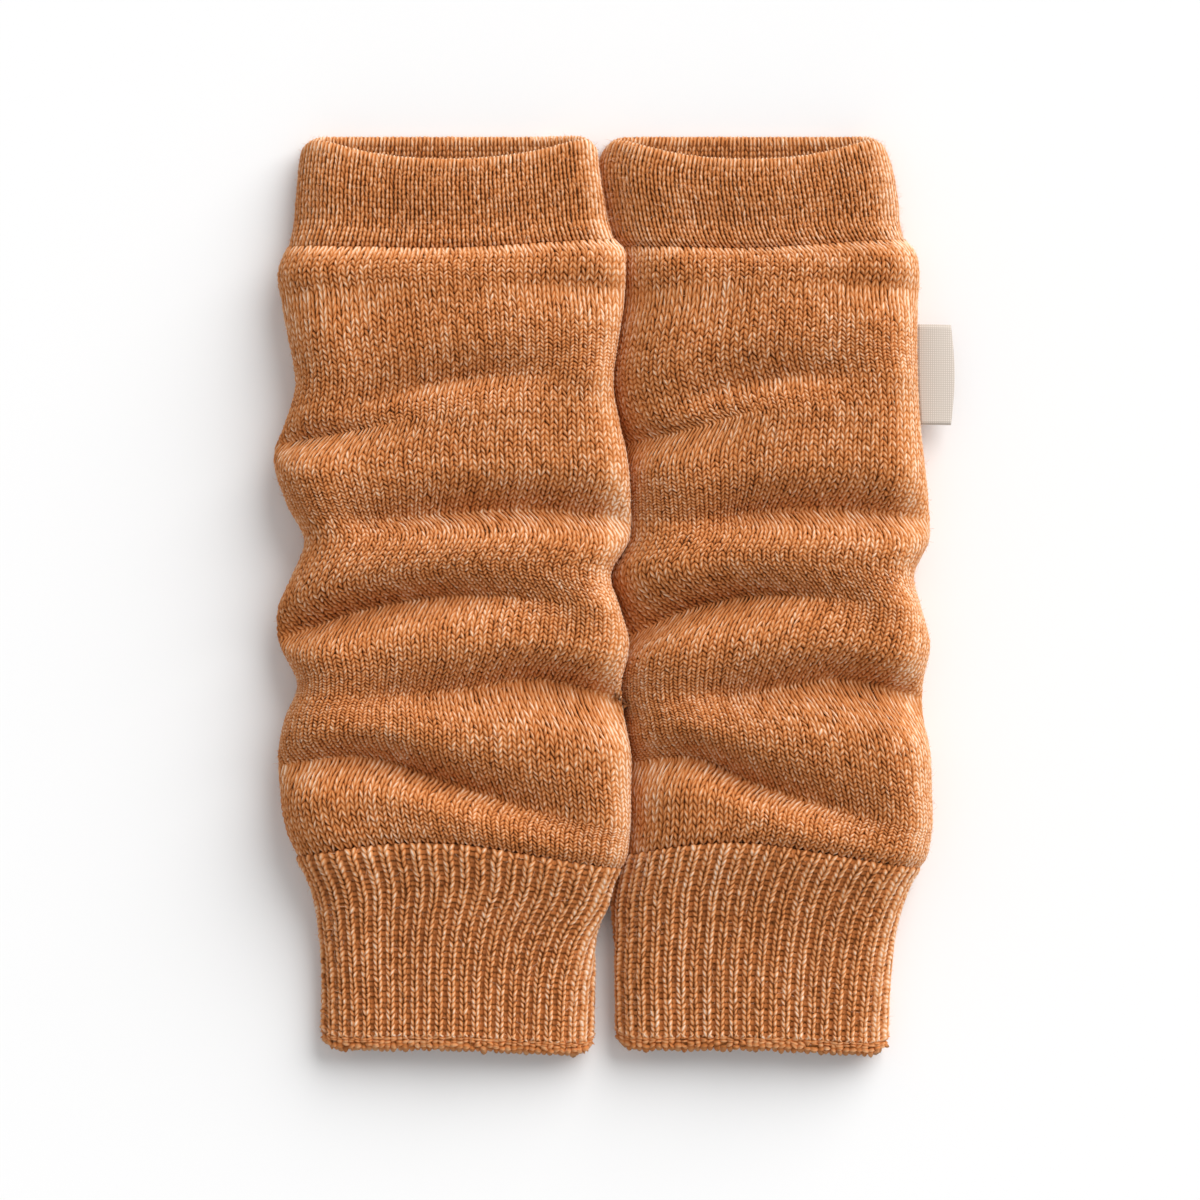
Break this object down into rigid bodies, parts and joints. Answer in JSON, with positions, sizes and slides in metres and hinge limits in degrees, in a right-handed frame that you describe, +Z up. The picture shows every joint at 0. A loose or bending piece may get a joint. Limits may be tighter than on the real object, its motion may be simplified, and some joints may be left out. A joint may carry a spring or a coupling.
{
  "type": "pair of knit leg warmers",
  "caption": "Pair of wool knit leg warmers lying side by side in soft folds, with doubled top bands, ribbed cuffs and a bare tape label in one side seam.",
  "frame": {"origin": "on the surface that the pair lies on, under the middle of the pair", "axes": "+X from the left one to the right one, +Y from the rib cuffs to the top bands, +Z up off the surface"},
  "size_m": [0.2451, 0.331, 0.0296],
  "materials": {
    "leg_knit": "caramel wool in stocking stitch, slightly hairy, matte",
    "band_knit": "caramel wool in fine stocking stitch, knitted double, slightly hairy, matte",
    "cuff_rib": "caramel wool in bold one by one rib, slightly hairy, matte",
    "label_tape": "cream woven cotton tape, bare, matte"
  },
  "bodies": {
    "root": {"left_top_band": "band_knit", "left_leg": "leg_knit", "left_rib_cuff": "cuff_rib", "right_top_band": "band_knit", "right_leg": "leg_knit", "right_rib_cuff": "cuff_rib", "side_label": "label_tape"}
  },
  "joints": []
}
